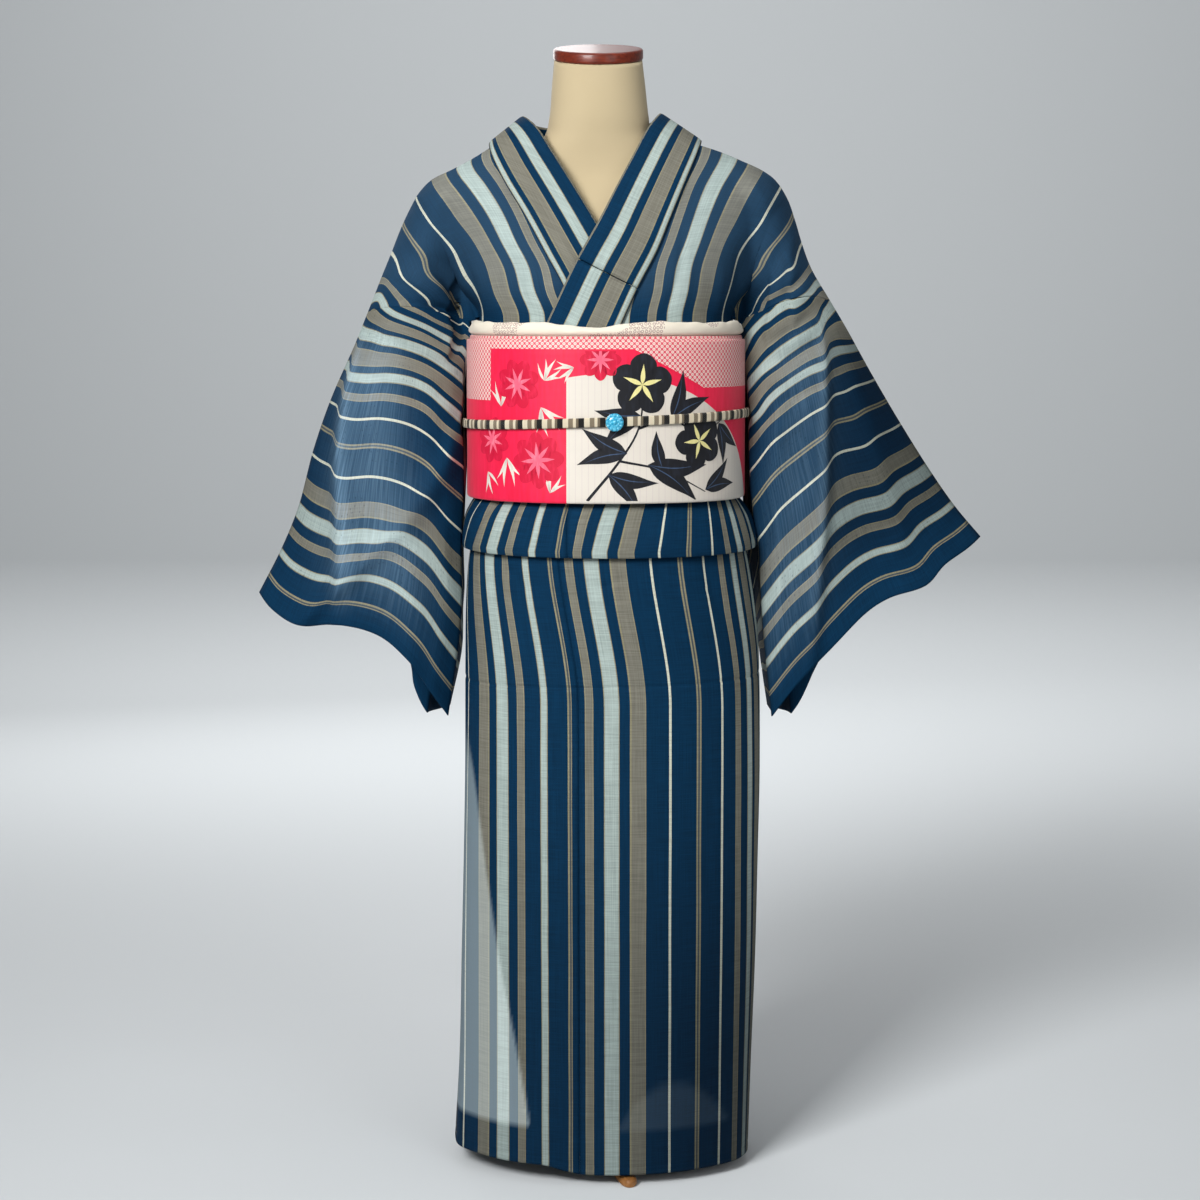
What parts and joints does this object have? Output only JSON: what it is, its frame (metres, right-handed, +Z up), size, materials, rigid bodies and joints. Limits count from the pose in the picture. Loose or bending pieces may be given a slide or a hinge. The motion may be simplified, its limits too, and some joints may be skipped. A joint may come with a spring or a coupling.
{
  "type": "kimono on dress form",
  "caption": "Worn striped kimono with long open sleeves, a crossed collar, a waist tuck and a wide sash tied flat at the back, on a limbless dress form with a low stand.",
  "frame": {"origin": "on the floor, in the middle of the stand's flat hub, under the form's pole", "axes": "+Z up, the garment's front faces -Y, the wearer's left is at +X"},
  "size_m": [0.799, 0.3572, 1.2328],
  "materials": {
    "kimono_cloth": "thin slightly sheer plain weave, satin sheen, woven stripes",
    "collar_cloth": "the same cloth folded into a firm band",
    "sash_cloth": "crepe, matt, dyed in panels",
    "scarf_cloth": "soft crepe with small tied-dye dots",
    "cord_braid": "flat silk braid in dark and pale blocks",
    "clasp_stone": "glossy moulded blue rosette",
    "form_cover": "close cream cotton jersey stretched over foam",
    "cap_wood": "dark red-brown varnish, pale top",
    "base_wood": "satin varnish"
  },
  "bodies": {
    "root": {"dress_form": "form_cover", "neck_cap": "cap_wood", "pole": "base_wood", "base_hub": "base_wood", "base_leg_1": "base_wood", "base_leg_2": "base_wood", "base_leg_3": "base_wood", "overlap_left": "kimono_cloth", "front_left_skirt": "kimono_cloth", "back_left_skirt": "kimono_cloth", "back_right_skirt": "kimono_cloth", "front_right_skirt": "kimono_cloth", "overlap_right": "kimono_cloth", "tuck_overlap": "kimono_cloth", "tuck_front": "kimono_cloth", "tuck_back": "kimono_cloth", "collar_left_end": "collar_cloth", "cover_collar": "collar_cloth", "collar_right_end": "collar_cloth", "sleeve_left": "kimono_cloth", "sleeve_right": "kimono_cloth", "body_left": "kimono_cloth", "body_right": "kimono_cloth", "sash": "sash_cloth", "scarf": "scarf_cloth", "sash_drum": "sash_cloth", "sash_tail": "sash_cloth", "sash_hand": "sash_cloth", "sash_cord": "cord_braid", "sash_clasp": "clasp_stone"}
  },
  "joints": []
}
